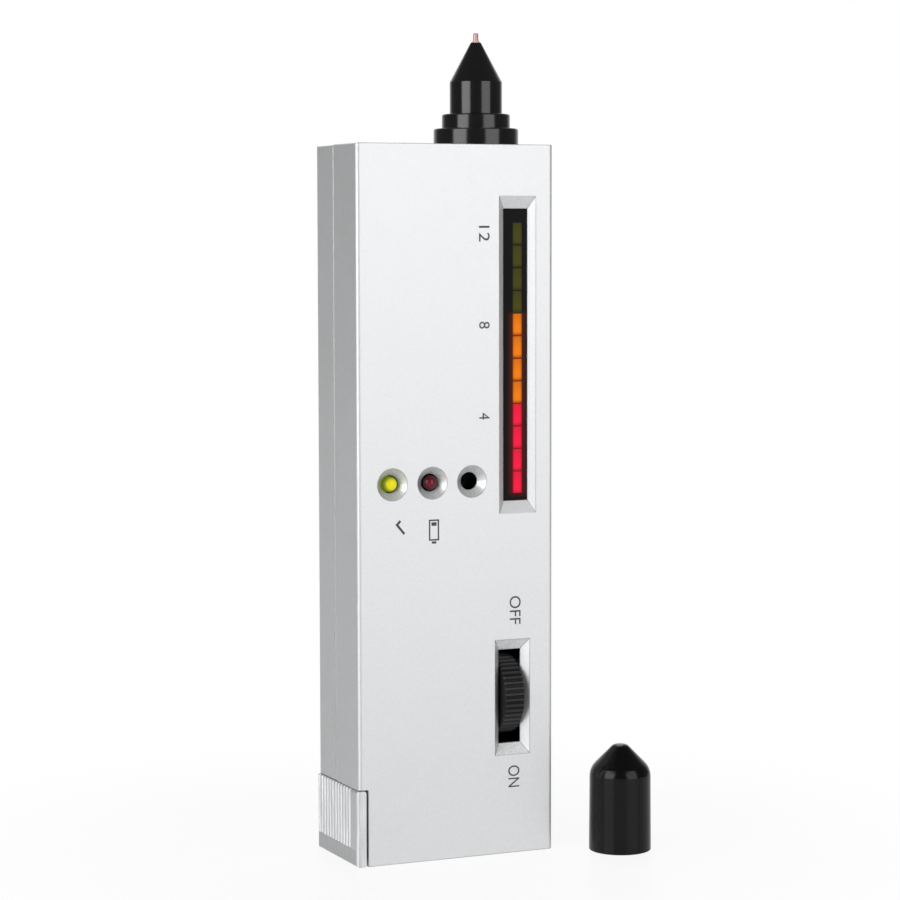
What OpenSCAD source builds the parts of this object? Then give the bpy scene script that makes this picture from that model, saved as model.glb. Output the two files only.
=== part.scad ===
// Gem tester: a two-part case with a sprung copper probe in a black nose, a bar of lamps,
// a thumbwheel switch and a sliding battery door. Its nose cap stands beside it.
// Millimetres. Origin on the base, in the middle of the case. +Z runs up to the probe,
// -Y is the face with the lamps.

/* [Case] */
// Height of the case, without the nose
body_h = 142.6; // [136:0.2:170]
// Thickness of the front wall
front_wall = 2.0; // [1.8:0.1:2.4]
// Thickness of the rear wall
rear_wall = 1.8; // [1.6:0.1:2.4]
// Thickness of the side walls
side_wall = 1.8; // [1.6:0.1:2.1]
// Thickness of the top wall and of the floor
end_wall = 1.8; // [1.6:0.1:2.2]
// Rounding of the upright edges
edge_r = 0.8; // [0.3:0.1:1]
// Rounding of the corners of the face
corner_r = 0.5; // [0.2:0.1:0.8]
// Depth of the front shell, from the face to the seam
seam_depth = 12.3; // [11:0.1:13]
// Step in from the front shell to the rear shell at the seam
seam_step = 0.1; // [0.05:0.05:0.3]
// Depth of the groove along the seam at the sides
seam_groove = 0.45; // [0.2:0.05:0.6]
// Height of the lip that locates the rear shell
lip_h = 1.5; // [1:0.1:1.8]
// Thickness of that lip
lip_t = 0.8; // [0.6:0.05:0.9]
// Clearance round the lip
lip_gap = 0.1; // [0.05:0.05:0.15]

/* [Battery] */
// Width of the block battery
battery_w = 26.5; // [25:0.1:28]
// Thickness of the block battery
battery_t = 17.5; // [16.5:0.1:18.5]
// Height of the block battery, without its studs
battery_h = 46.4; // [44:0.2:49]
// Rounding of the battery's upright edges
battery_r = 2.4; // [1:0.1:3]
// Clearance in front of and behind the battery, and under it
battery_gap = 0.15; // [0.1:0.05:0.3]
// Clearance beside the battery
battery_side_gap = 0.3; // [0.2:0.05:0.5]
// Height of the battery's studs
stud_h = 2; // [1.6:0.1:2.4]
// Distance between the two studs
stud_pitch = 12.7; // [11:0.1:13.5]
// Thickness of the clip on the studs
snap_t = 4.6; // [3.4:0.1:6]
// Thickness of the ribs that wall off the battery
bay_wall = 1.2; // [1:0.1:1.5]

/* [Battery door] */
// Height of the door on the side of the case
door_h = 15.2; // [12:0.1:18]
// Width of the door's edge on the face
door_strip = 1.6; // [1.3:0.1:1.8]
// Gap beside that edge
door_gap = 0.4; // [0.35:0.05:0.8]
// How far the door stands out from the side of the case
door_proud = 0.35; // [0.2:0.05:0.5]
// Clearance round the sliding door
door_fit = 0.15; // [0.1:0.05:0.2]
// Depth of the rails in the front and rear walls
rail_depth = 0.9; // [0.6:0.05:1]
// Height of those rails
rail_h = 0.9; // [0.7:0.05:1]
// Number of grooves in the thumb grip
grip_count = 12; // [8:1:14]
// Radius of a groove of the grip
grip_r = 0.55; // [0.4:0.05:0.6]
// Depth of a groove of the grip
grip_depth = 0.35; // [0.2:0.05:0.4]
// Smooth band below the grip
grip_foot = 3.3; // [2:0.1:6]
// Smooth band in front of the grip
grip_front = 3.4; // [2:0.1:5]

/* [Lamp bar] */
// Distance from the right side of the case to the window
window_inset = 3.8; // [3:0.1:5]
// Distance from the top of the case to the window
window_top = 10.2; // [9.5:0.1:14]
// Width of the window's side bevels
window_bevel_x = 1.4; // [0.8:0.05:1.6]
// Height of the window's end bevels
window_bevel_z = 2.5; // [1.5:0.1:3]
// Depth of the window's bevels, and of the bar's face behind them
bar_sink = 1.1; // [0.8:0.05:1.5]
// Clearance round the bar's face in the window
bar_gap = 0.1; // [0.05:0.05:0.2]
// Straight edge behind the bevels of the wheel's slot and of the dimples
land = 0.4; // [0.2:0.05:0.6]
// Lamps of each of the three colours
lamps_per_colour = 4; // [3:1:4]
// Distance between the lamps of the bar
lamp_pitch = 4.53; // [4:0.01:4.8]
// Width of a lamp of the bar
lamp_w = 2; // [1.6:0.1:2.4]
// Dark gap between the lamps of the bar
lamp_gap = 0.25; // [0.15:0.05:0.5]
// Thickness of a lamp's coloured bar
lamp_t = 3; // [2:0.1:4]
// Dark field on the left of the lamps
field_left = 2.1; // [1.5:0.1:2.8]
// Dark field on the right of the lamps
field_right = 1.2; // [0.6:0.1:1.5]
// Dark field above the lamps
field_top = 2.7; // [1.5:0.1:3.5]
// Dark field below the lamps
field_foot = 1.35; // [1:0.05:2.5]
// How far the bar's housing reaches behind the edges of the window
bar_lap = 0.8; // [0.5:0.1:1.2]
// Depth of the bar's housing
bar_t = 8; // [6:0.1:9]
// Distance between the bar's two rows of legs
bar_row = 5.08; // [4:0.02:5.4]

/* [Dimples] */
// Distance from the left side of the case to the first dimple
dimple_inset = 7.4; // [6.5:0.1:9]
// Distance from the last dimple to the window
dimple_to_window = 6; // [5.5:0.1:7]
// Height of the dimples above the lower end of the window
dimple_rise = 6.75; // [5:0.05:12]
// Diameter of a dimple on the face
dimple_d = 6.4; // [5:0.1:7]
// Diameter of the hole in a dimple
hole_d = 3.55; // [3.4:0.05:3.8]
// Diameter of a round lamp
round_lamp_d = 3.1; // [2.8:0.05:3.2]
// How far a round lamp's end lies behind the face
round_lamp_sink = 0.1; // [0.1:0.1:1.6]
// Diameter of a round lamp's rim
round_lamp_rim_d = 3.9; // [3.8:0.1:4.4]
// Length of the sleeve that holds a round lamp
sleeve_l = 2; // [1:0.1:3]
// Wall of the sleeve
sleeve_wall = 0.8; // [0.6:0.1:1.2]
// Diameter of the buzzer
buzzer_d = 9.5; // [8.5:0.1:10.5]
// Height of the buzzer
buzzer_h = 9; // [6:0.1:10]
// Diameter of the buzzer's own port
buzzer_port_d = 2; // [1.5:0.1:2.5]

/* [Thumbwheel] */
// Radius of the wheel
wheel_r = 8.2; // [7.6:0.1:8.8]
// Width of the wheel
wheel_w = 4.2; // [3.6:0.1:4.8]
// How far the wheel stands out from the face
wheel_proud = 1.5; // [1:0.1:2]
// Height of the wheel's axis above the base
wheel_z = 31.8; // [28:0.1:38]
// Number of ribs round the wheel
wheel_ribs = 44; // [30:1:50]
// Depth of the ribs
wheel_rib_h = 0.35; // [0.2:0.05:0.5]
// Bevel of the wheel's rims
wheel_bevel = 0.25; // [0.2:0.05:0.9]
// Clearance between the wheel and the sides of its slot
wheel_side_gap = 0.3; // [0.25:0.05:0.5]
// Dark gap above and below the wheel in its slot
wheel_end_gap = 2.8; // [1.5:0.1:3.5]
// Width of the slot's side bevels
slot_bevel_x = 1.45; // [0.8:0.05:1.6]
// Height of the slot's end bevels
slot_bevel_z = 2.2; // [1.5:0.1:3]
// Room between the battery's wall and the wheel
wheel_room = 1.3; // [1:0.05:2]
// Thickness of the switch beside the wheel
pot_t = 4.1; // [3.6:0.1:5]
// Height of the switch
pot_h = 14; // [12.6:0.1:16]
// Rounding of the switch's corners
pot_corner_r = 1.5; // [0.5:0.1:2.5]
// Clearance on both sides of the switch
pot_gap = 0.5; // [0.3:0.05:0.8]
// Radius of the switch's shaft
shaft_r = 2; // [1.6:0.1:2.3]
// Depth of the shaft's seat in the switch
shaft_seat = 2.5; // [1.5:0.1:3]
// Radial clearance of the shaft
shaft_fit = 0.05; // [0.03:0.01:0.08]
// Depth of the dish in the wheel that holds its screw
dish_t = 1.6; // [1.3:0.1:2]

/* [Nose] */
// Distance from the right side of the case to the probe's axis
nose_inset = 12; // [11.5:0.1:15]
// Diameter of the lower flange
flange_d = 17.1; // [16:0.1:17.4]
// Height of the lower flange
flange_h = 3.4; // [2:0.1:5]
// Diameter of the upper flange
collar_d = 13.75; // [12.5:0.05:14.5]
// Height of the upper flange
collar_h = 2.9; // [2:0.1:5]
// Diameter of the barrel that the cap fits
barrel_d = 10.55; // [10:0.05:11.5]
// Height of the barrel
barrel_h = 6.4; // [5:0.1:9]
// Height of the cone
cone_h = 7.9; // [7:0.1:11]
// Diameter of the end of the cone
cone_end_d = 2.1; // [2:0.1:3]
// Rounding of the flanges and of the barrel
nose_r = 0.4; // [0.2:0.05:0.7]
// Wall round the spring in the nose
nose_wall = 1.9; // [1.6:0.1:2.2]
// Thickness of the rim that holds the nose inside the case
keeper_t = 1.8; // [1.4:0.1:2.2]
// Clearance of the nose in the top wall
keeper_gap = 0.1; // [0.05:0.05:0.2]

/* [Probe] */
// Diameter of the copper tip
tip_d = 1; // [0.8:0.05:1.1]
// How far the tip stands out from the cone
tip_out = 1.9; // [1.7:0.1:2.4]
// Travel of the tip when it is pressed
tip_travel = 1.2; // [0.8:0.1:1.3]
// Outer diameter of the bush round the tip
bush_d = 1.52; // [1.45:0.01:1.6]
// How far the bush stands out from the cone
bush_out = 0.35; // [0.2:0.05:0.4]
// Radial clearance of the tip and of its rod
probe_fit = 0.05; // [0.03:0.01:0.08]
// Diameter of the rod that carries the tip
rod_d = 3.7; // [3.2:0.1:4]
// Length of the rod above its shoulder
rod_l = 5.2; // [4:0.1:5.6]
// Thickness of the rod's shoulder
shoulder_t = 2.4; // [1.5:0.1:3]
// Diameter of the spring's wire
wire_d = 0.45; // [0.35:0.05:0.5]
// Turns of the spring
spring_turns = 6; // [4:1:6]
// Height of the plug that the spring stands on
seat_h = 4.2; // [3.8:0.1:5]

/* [Cap] */
// Radial clearance of the cap on the barrel
cap_fit = 0.08; // [0.05:0.01:0.1]
// Wall of the cap below its shoulder
cap_wall = 0.85; // [0.7:0.05:1.3]
// How much further out the cap's side stands at its rim than below its shoulder
cap_draft = 0.1; // [0:0.05:0.3]
// Solid end of the cap
cap_end = 4.8; // [3:0.1:6]
// Room between the probe's tip and the cap's end
cap_room = 0.6; // [0.3:0.1:1]
// Height of the cap's taper
cap_taper = 4.9; // [4:0.1:7]
// Diameter at which the cap's taper would meet its top
cap_top_d = 2.7; // [1.6:0.1:4]
// Diameter of the small flat on the rounded top
cap_flat_d = 1.5; // [0.2:0.1:1.5]
// Rounding of the cap's shoulder
cap_shoulder_r = 4; // [1:0.1:5]
// Rounding of the cap's foot
cap_foot_r = 0.3; // [0.1:0.05:0.4]
// Distance from the right side of the case to the cap's axis
cap_beside = 12.25; // [10:0.25:40]
// Distance from the face to the cap's axis
cap_before = 6.2; // [0:0.1:20]

/* [Circuit board] */
// Thickness of the circuit board
board_t = 1.6; // [1.2:0.1:1.8]
// Clearance between the wheel and the board
board_gap = 0.4; // [0.3:0.1:0.6]
// Clearance between the board's edges and the case
board_edge = 0.5; // [0.3:0.1:0.8]
// How far the board reaches below the wheel's axis
board_below = 13; // [11:0.1:16]
// Radius of the legs of the larger parts
leg_r = 0.3; // [0.2:0.05:0.35]
// Radial clearance of a leg in the board
leg_fit = 0.1; // [0.05:0.05:0.15]
// How far legs stand out behind the board
leg_out = 1; // [0.6:0.1:1.2]
// Distance between the legs of a round lamp and of the switch
leg_pitch = 2.54; // [2:0.02:2.6]
// Distance between the legs of a chip
chip_pitch = 1.27; // [1:0.01:1.4]
// Radius of an insulated lead
lead_r = 0.55; // [0.4:0.05:0.6]
// Bend radius of a lead
lead_bend = 1.6; // [1.2:0.1:2]

/* [Fasteners] */
// Radius of the rear posts of the case screws
post_r = 3.3; // [3.1:0.1:3.6]
// Radius of the front posts of the case screws
pilot_post_r = 2.6; // [2.3:0.1:3]
// Radius of a screw's shank
screw_r = 1.1; // [0.9:0.05:1.2]
// Radius of a screw's head
head_r = 2.1; // [1.8:0.1:2.2]
// Height of a screw's head
head_h = 1.6; // [1.2:0.1:1.8]
// Clearance round a screw
screw_gap = 0.2; // [0.1:0.05:0.3]
// Depth of the seat of a case screw's head below the back
head_seat = 4.3; // [3:0.1:5]
// Length of a case screw below its head
case_screw_l = 11; // [9:0.5:13]

/* [Hidden] */
$fn = 64;
// Overrun of a cut past the face that it opens
over = 1;
// Steps of a rounded corner in a turned profile
arc_steps = 6;

// Outline of the case, worked out from what it holds
bay_w = battery_w + 2 * battery_side_gap;
body_d = front_wall + battery_t + 2 * battery_gap + rear_wall;
body_w = 2 * side_wall + bay_w + bay_wall + wheel_room + wheel_w + pot_t + 2 * pot_gap;
left = -body_w / 2;
right = body_w / 2;
face = -body_d / 2;
back = body_d / 2;
left_in = left + side_wall;
right_in = right - side_wall;
face_in = face + front_wall;
back_in = back - rear_wall;
top_in = body_h - end_wall;
seam_y = face + seam_depth;

// Battery bay
bay_x = left_in + bay_w;
bay_wall_x = bay_x + bay_wall;
battery_x = left_in + bay_w / 2;
battery_y = (face_in + back_in) / 2;
battery_z = end_wall + battery_gap;
snap_z = battery_z + battery_h + battery_gap;
bay_top = snap_z + snap_t + bay_wall;
bay_lid = bay_top + bay_wall;
// Reach of the front rib above the battery, which leaves a way for the leads
bay_rib_front = 6.5;
// Solid stud, hollow stud and the floor inside the hollow one
stud_r = 2.85;
socket_r = 4.1;
socket_floor = 0.5;
// Rim of the clip round the studs
snap_rim = 2.1;
// Place of the battery's leads behind the middle of the battery, and their rise on the board
battery_lead_back = 1.2;
battery_lead_rise = 3;

// Thumbwheel and switch
wheel_x = bay_wall_x + wheel_room + wheel_w / 2;
wheel_y = face - wheel_proud + wheel_r;
wheel_left = wheel_x - wheel_w / 2;
wheel_right = wheel_x + wheel_w / 2;
pot_x = wheel_right + pot_gap;
slot_in_w = wheel_w + 2 * wheel_side_gap;
slot_in_h = 2 * (sqrt(pow(wheel_r, 2) - pow(wheel_y - face_in, 2)) + wheel_end_gap);
// Screw that holds the wheel, in its dish
wheel_screw_head_r = 2.9;
wheel_screw_head_h = 1;
wheel_screw_r = 0.95;
wheel_screw_l = 3.5;
wheel_screw_slot = 0.6;
dish_r = wheel_screw_head_r + 1.7;
// End play of the shaft in the switch
shaft_play = 0.2;
// Legs of the switch, counted from its middle
pot_legs = [-2, -1, 0, 1, 2];

// Circuit board
board_y = wheel_y + wheel_r + board_gap;
board_back = board_y + board_t;
board_left = left_in + board_edge;
board_right = right_in - board_edge;
board_foot = bay_lid + board_edge;
board_leg_x = bay_wall_x + board_edge;
board_leg_z = wheel_z - board_below;

// Lamp bar and its window
lamp_count = 3 * lamps_per_colour;
bar_l = lamp_count * lamp_pitch;
window_in_w = field_left + lamp_w + field_right;
window_in_h = field_foot + bar_l + field_top;
window_w = window_in_w + 2 * window_bevel_x;
window_h = window_in_h + 2 * window_bevel_z;
window_x = right - window_inset - window_w / 2;
window_z = body_h - window_top - window_h / 2;
lamp_x = window_x - window_in_w / 2 + field_left + lamp_w / 2;
lamp_foot = window_z - window_in_h / 2 + field_foot;
bar_face = face + bar_sink;
bar_back = face_in + bar_t;

// Steps of the nose inside the case
neck_step = 0.9;
keeper_step = 0.6;
// Depth of the spring's chamber below the top of the barrel
chamber_drop = 2.2;
// Clearance of the rod's shoulder in the chamber, and its gap at rest
shoulder_gap = 0.25;
rest_gap = 0.05;
// Room above the rod, and length and clearance of the narrow hole for the tip
rod_room = 0.6;
tip_hole_l = 0.9;
tip_hole_gap = 0.15;
// Solid part of the rod between its shoulder and the tip
rod_solid = 1.5;
// How far the plug starts above the foot of the nose
seat_lift = 0.5;
// Clearance of the spring inside the edge of the rod's shoulder
spring_gap = 0.3;
// Distance between the probe's leads, and their drop to the board
probe_lead_pitch = 2;
probe_lead_drop = 5;

// Nose and probe, from the top of the case upwards
nose_x = right - nose_inset;
flange_z = body_h + flange_h;
collar_z = flange_z + collar_h;
barrel_z = collar_z + barrel_h;
cone_z = barrel_z + cone_h;
tip_z = cone_z + tip_out;
neck_r = collar_d / 2 - neck_step;
keeper_r = flange_d / 2 - keeper_step;
keeper_top = top_in - keeper_gap;
keeper_foot = keeper_top - keeper_t;
chamber_r = barrel_d / 2 - nose_wall;
chamber_z = barrel_z - chamber_drop;
shoulder_z = chamber_z - rest_gap;
shoulder_foot = shoulder_z - shoulder_t;
shoulder_r = chamber_r - shoulder_gap;
rod_z = shoulder_z + rod_l;
guide_z = rod_z + rod_room;
bush_foot = guide_z + tip_hole_l;
tip_hole_r = tip_d / 2 + tip_hole_gap;
tip_foot = shoulder_z + rod_solid;
seat_foot = keeper_foot + seat_lift;
seat_z = seat_foot + seat_h;
spring_l = shoulder_foot - seat_z - 2 * rest_gap;
spring_r = shoulder_r - wire_d / 2 - spring_gap;

// Cap
cap_x = right + cap_beside;
cap_y = face - cap_before;
cap_bore_r = barrel_d / 2 + cap_fit;
cap_r = cap_bore_r + cap_wall;
cap_in_h = barrel_h + cone_h + tip_out + cap_room;
cap_h = cap_in_h + cap_end;
// Taper of the cap's bore at its closed end
cap_bore_taper = 3;
cap_bore_end_r = 1.5;
cap_bore_h = cap_in_h - cap_bore_taper;

// Case screws, which go in from the back
post_room = 0.4;
post_left = left_in + post_r + post_room / 2;
post_right = right_in - post_r - post_room / 2;
post_top = keeper_foot - post_r - post_room;
post_mid = bay_lid + post_r + 2 * post_room;
post_foot = end_wall + post_r + 2 * post_room;
case_screw_places = [
    [post_left, post_top],
    [post_right, post_top],
    [post_left, post_mid],
    [post_right, post_foot]
];
screw_seat_y = back - head_seat;
case_screw_end = screw_seat_y - case_screw_l;
// Room left at the end of a screw
screw_end_room = 0.3;

// Dimples: two lamps and the sound port, clear of the post above the battery
dimple_low = post_mid + post_r + post_room + hole_d / 2 + sleeve_wall;
dimple_z = max(window_z - window_h / 2 + dimple_rise, dimple_low);
dimple_first = left + dimple_inset;
dimple_last = window_x - window_w / 2 - dimple_to_window;
dimple_mid = (dimple_first + dimple_last) / 2;
round_lamps = [dimple_first, dimple_mid];
dimples = [dimple_first, dimple_mid, dimple_last];
round_lamp_y = face + round_lamp_sink;
round_lamp_rim_y = face_in + sleeve_l;
round_lamp_rim_t = 1;

// Board screws, which go in from the front
board_screw_l = 3.4;
boss_r = 2.4;
// Distance of the upper board screw from the probe's axis
board_screw_aside = 4;
board_screw_places = [
    [post_left, post_top - 4 * post_r],
    [nose_x - board_screw_aside, post_top],
    [post_left, dimple_z + 2.5 * post_r],
    [lamp_x, min(bay_lid + 2 * post_r, lamp_foot - boss_r - post_room)]
];

// Places of the legs of the lamp bar, of the round lamps and of the switch, in x and z
bar_leg_places = [
    for (i = [0:lamp_count - 1], side = [-1, 1]) [lamp_x + side * bar_row / 2, bar_lamp_z(i)]
];
lamp_leg_places = [for (x = round_lamps, side = [-1, 1]) [x + side * leg_pitch / 2, dimple_z]];
pot_leg_places = [for (i = pot_legs) [pot_x + pot_t / 2, wheel_z + i * leg_pitch]];

// Chips and capacitors on the board
driver_w = 7.4;
driver_t = 2.3;
driver_rise = 13;
driver_aside = 2;
amplifier_w = 3.9;
amplifier_t = 1.5;
can_r = 2.5;
can_h = 7.5;
can_pitch = 7;

// Points on an arc about c, from angle a to angle b
function arc(c, r, a, b) =
    [for (i = [0:arc_steps]) c + r * [cos(a + (b - a) * i / arc_steps), sin(a + (b - a) * i / arc_steps)]];

// Middle of the i-th lamp of the bar, counted from below
function bar_lamp_z(i) = lamp_foot + (i + 0.5) * lamp_pitch;

// A block between two corners
module block(low, high) {
    translate(low) cube(high - low);
}

// An outline in x and z, drawn out from depth y0 to depth y1
module along_y(y0, y1) {
    translate([0, y1, 0]) rotate([90, 0, 0]) linear_extrude(y1 - y0) children();
}

// An outline in y and z, drawn out from x0 to x1
module along_x(x0, x1) {
    translate([x0, 0, 0]) rotate([90, 0, 90]) linear_extrude(x1 - x0) children();
}

// A round bar along the depth
module bar_y(x, z, y0, y1, r) {
    translate([x, y0, z]) rotate([-90, 0, 0]) cylinder(h = y1 - y0, r = r);
}

// A rectangle between two corners, with rounded corners
module rounded_rect(low, high, r) {
    translate(low + [r, 0]) square(high - low - [2 * r, 0]);
    translate(low + [0, r]) square(high - low - [0, 2 * r]);
    for (x = [low.x + r, high.x - r], y = [low.y + r, high.y - r]) {
        translate([x, y]) circle(r);
    }
}

// Solid outline of the case between two depths, drawn in by a step at the sides and the top
module case_blank(y0, y1, step) {
    intersection() {
        along_y(y0, y1) rounded_rect([left + step, 0], [right - step, body_h - step], corner_r);
        linear_extrude(body_h) rounded_rect([left + step, face], [right - step, back], edge_r);
    }
}

// Groove with sloping sides along the seam, at both sides of the case
module seam_grooves() {
    for (x = [left, right]) {
        linear_extrude(body_h) translate([x, seam_y]) rotate(45) square(sqrt(2) * seam_groove, center = true);
    }
}

// Space inside the walls between two depths, grown outwards
module case_space(y0, y1, grow) {
    block([left_in - grow, y0, end_wall - grow], [right_in + grow, y1, top_in + grow]);
}

// Opening in the front wall with bevelled sides and ends
module bevelled_opening(x, z, w, h, bevel_x, bevel_z, depth) {
    intersection() {
        translate([x, face, z - h]) linear_extrude(2 * h) bevel_outline(w / 2, bevel_x, depth);
        translate([0, face, z]) along_x(x - w, x + w) mirror([1, -1]) bevel_outline(h / 2, bevel_z, depth);
    }
    block(
        [x - w / 2 + bevel_x, face, z - h / 2 + bevel_z],
        [x + w / 2 - bevel_x, face_in + over, z + h / 2 - bevel_z]
    );
}

// Half-open outline of a bevelled recess: straight in front of the face, then narrowing
module bevel_outline(half, bevel, depth) {
    polygon([
        [-half, -over], [half, -over], [half, 0],
        [half - bevel, depth], [bevel - half, depth], [-half, 0]
    ]);
}

// Opening for the battery and for the door at the lower left corner
module door_opening() {
    block([left - over, face_in, -over], [bay_x, back_in, end_wall]);
    block([left - over, face - over, -over], [left + door_strip + door_gap, back + over, door_h + door_fit]);
    block(
        [left - over, face_in - rail_depth, (end_wall - rail_h) / 2],
        [bay_x, back_in + rail_depth, (end_wall + rail_h) / 2]
    );
}

// Hole for the nose in the top wall
module nose_hole() {
    translate([nose_x, 0, top_in - over]) cylinder(h = end_wall + 2 * over, r = neck_r + keeper_gap);
}

module front_shell() {
    color("#d9dadb")
    difference() {
        union() {
            difference() {
                case_blank(face, seam_y, 0);
                case_space(face_in, seam_y + over, 0);
            }
            difference() {
                case_space(seam_y - lip_h, seam_y + lip_h, lip_t);
                case_space(seam_y - lip_h - over, seam_y + lip_h + over, 0);
            }
            for (p = case_screw_places) {
                bar_y(p.x, p.y, face_in, seam_y, pilot_post_r);
            }
            for (x = round_lamps) {
                bar_y(x, dimple_z, face_in, round_lamp_rim_y, hole_d / 2 + sleeve_wall);
            }
            block([bay_x, face_in, end_wall], [bay_wall_x, seam_y, bay_lid]);
            block([left_in, face_in, bay_top], [bay_x, face_in + bay_rib_front, bay_lid]);
        }
        bevelled_opening(window_x, window_z, window_w, window_h, window_bevel_x, window_bevel_z, bar_sink);
        bevelled_opening(
            wheel_x, wheel_z, slot_in_w + 2 * slot_bevel_x, slot_in_h + 2 * slot_bevel_z,
            slot_bevel_x, slot_bevel_z, front_wall - land
        );
        for (x = dimples) {
            translate([x, face, dimple_z]) rotate([-90, 0, 0])
                cylinder(h = front_wall - land, r1 = dimple_d / 2, r2 = hole_d / 2);
            bar_y(x, dimple_z, face, round_lamp_rim_y + over, hole_d / 2);
        }
        for (p = case_screw_places) {
            bar_y(p.x, p.y, case_screw_end - screw_end_room, seam_y + over, screw_r);
        }
        seam_grooves();
        door_opening();
        nose_hole();
    }
}

module rear_shell() {
    color("#d2d3d4")
    difference() {
        union() {
            difference() {
                case_blank(seam_y, back, seam_step);
                case_space(seam_y - over, back_in, 0);
                case_space(seam_y - over, seam_y + lip_h + lip_gap, lip_t + lip_gap);
            }
            for (p = case_screw_places) {
                bar_y(p.x, p.y, seam_y, back_in, post_r);
            }
            for (p = board_screw_places) {
                bar_y(p.x, p.y, board_back, back_in, boss_r);
            }
            block([bay_x, seam_y, end_wall], [bay_wall_x, back_in, bay_lid]);
            block([left_in, board_back, bay_top], [bay_x, back_in, bay_lid]);
        }
        for (p = case_screw_places) {
            bar_y(p.x, p.y, seam_y - over, back + over, screw_r + screw_gap);
            bar_y(p.x, p.y, screw_seat_y, back + over, head_r + screw_gap);
        }
        for (p = board_screw_places) {
            bar_y(p.x, p.y, board_back - over, board_y + board_screw_l + screw_end_room, screw_r);
        }
        seam_grooves();
        door_opening();
        nose_hole();
    }
}

// Cross-head screw along the depth: head from y to y + head_h, shank towards -y
module cross_screw(p, y, l) {
    slot_w = 0.5;
    slot_l = 1.2 * head_r;
    difference() {
        union() {
            bar_y(p.x, p.y, y, y + head_h, head_r);
            bar_y(p.x, p.y, y - l, y + head_h / 2, screw_r);
        }
        for (turn = [0, 90]) {
            translate([p.x, y + head_h, p.y]) rotate([0, turn, 0])
                cube([slot_l, head_h, slot_w], center = true);
        }
    }
}

module case_screws() {
    color("#8f9194")
    for (p = case_screw_places) {
        cross_screw(p, screw_seat_y, case_screw_l);
    }
}

module battery_door() {
    door_x = left - door_proud;
    plate_x = left + door_strip;
    plate_end = bay_x - battery_side_gap;
    groove_step = (body_d - grip_front - grip_r) / grip_count;
    color("#cfd0d1")
    difference() {
        union() {
            intersection() {
                along_y(face, back) rounded_rect([door_x, 0], [plate_x, door_h], corner_r);
                linear_extrude(door_h) rounded_rect([door_x, face], [plate_x + 2 * edge_r, back], edge_r);
            }
            block([plate_x - over, face_in + door_fit, 0], [plate_end, back_in - door_fit, end_wall]);
            block(
                [plate_x - over, face_in - rail_depth + door_fit, (end_wall - rail_h) / 2 + door_fit],
                [plate_end, back_in + rail_depth - door_fit, (end_wall + rail_h) / 2 - door_fit]
            );
        }
        for (i = [0:grip_count - 1]) {
            translate([door_x + grip_depth - grip_r, face + grip_front + (i + 0.5) * groove_step, grip_foot])
                cylinder(h = door_h, r = grip_r);
        }
    }
}

// Turned profile of the nose: outside from the foot upwards, then back down the bores
module nose() {
    r_flange = flange_d / 2;
    r_collar = collar_d / 2;
    r_barrel = barrel_d / 2;
    color("#141414")
    translate([nose_x, 0, 0]) rotate_extrude() polygon(concat(
        [[chamber_r, keeper_foot], [keeper_r, keeper_foot], [keeper_r, keeper_top], [neck_r, keeper_top]],
        [[neck_r, body_h], [r_flange, body_h]],
        arc([r_flange - nose_r, flange_z - nose_r], nose_r, 0, 90),
        [[r_collar, flange_z]],
        arc([r_collar - nose_r, collar_z - nose_r], nose_r, 0, 90),
        [[r_barrel, collar_z], [r_barrel, barrel_z], [cone_end_d / 2, cone_z]],
        [[bush_d / 2, cone_z], [bush_d / 2, bush_foot], [tip_hole_r, bush_foot]],
        [[tip_hole_r, guide_z], [rod_d / 2 + probe_fit, guide_z]],
        [[rod_d / 2 + probe_fit, chamber_z], [chamber_r, chamber_z]]
    ));
}

module tip_bush() {
    bush_l = cone_z + bush_out - bush_foot;
    color("#d8cfc0")
    translate([nose_x, 0, bush_foot]) difference() {
        cylinder(h = bush_l, r = bush_d / 2);
        translate([0, 0, -over]) cylinder(h = bush_l + 2 * over, r = tip_d / 2 + probe_fit);
    }
}

module probe_tip() {
    tip_r = tip_d / 2;
    end_r = 0.25;
    color("#b8734a")
    translate([nose_x, 0, 0]) rotate_extrude() polygon(concat(
        [[0, tip_foot], [tip_r, tip_foot]],
        arc([tip_r - end_r, tip_z - end_r], end_r, 0, 90),
        [[0, tip_z]]
    ));
}

module probe_rod() {
    color("#c9a04a")
    translate([nose_x, 0, 0]) rotate_extrude() polygon([
        [0, shoulder_foot], [shoulder_r, shoulder_foot], [shoulder_r, shoulder_z],
        [rod_d / 2, shoulder_z], [rod_d / 2, rod_z], [tip_d / 2, rod_z], [tip_d / 2, tip_foot], [0, tip_foot]
    ]);
}

// Helix of a wire with six sides, as rings of points joined by triangles
module tip_spring() {
    sides = 6;
    rings_per_turn = 12;
    rings = spring_turns * rings_per_turn;
    rise = (spring_l - wire_d) / rings;
    slope = atan2(rise * rings_per_turn, 2 * PI * spring_r);
    points = [
        for (i = [0:rings], k = [0:sides - 1])
            let (a = 360 * i / rings_per_turn, b = 360 * k / sides)
            let (out = wire_d / 2 * cos(b), lift = wire_d / 2 * sin(b))
            [
                (spring_r + out) * cos(a) + lift * sin(slope) * sin(a),
                (spring_r + out) * sin(a) - lift * sin(slope) * cos(a),
                wire_d / 2 + i * rise + lift * cos(slope)
            ]
    ];
    walls = [
        for (i = [0:rings - 1], k = [0:sides - 1])
            let (p = i * sides + k, q = i * sides + (k + 1) % sides)
            each [[p, p + sides, q], [q, p + sides, q + sides]]
    ];
    ends = [
        for (k = [1:sides - 2])
            each [[0, k, k + 1], [rings * sides, rings * sides + k + 1, rings * sides + k]]
    ];
    color("#b9bbbd")
    translate([nose_x, 0, seat_z + rest_gap]) polyhedron(points, concat(walls, ends));
}

module spring_seat() {
    color("#e4e2dc")
    translate([nose_x, 0, seat_foot]) cylinder(h = seat_h, r = chamber_r);
}

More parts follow.
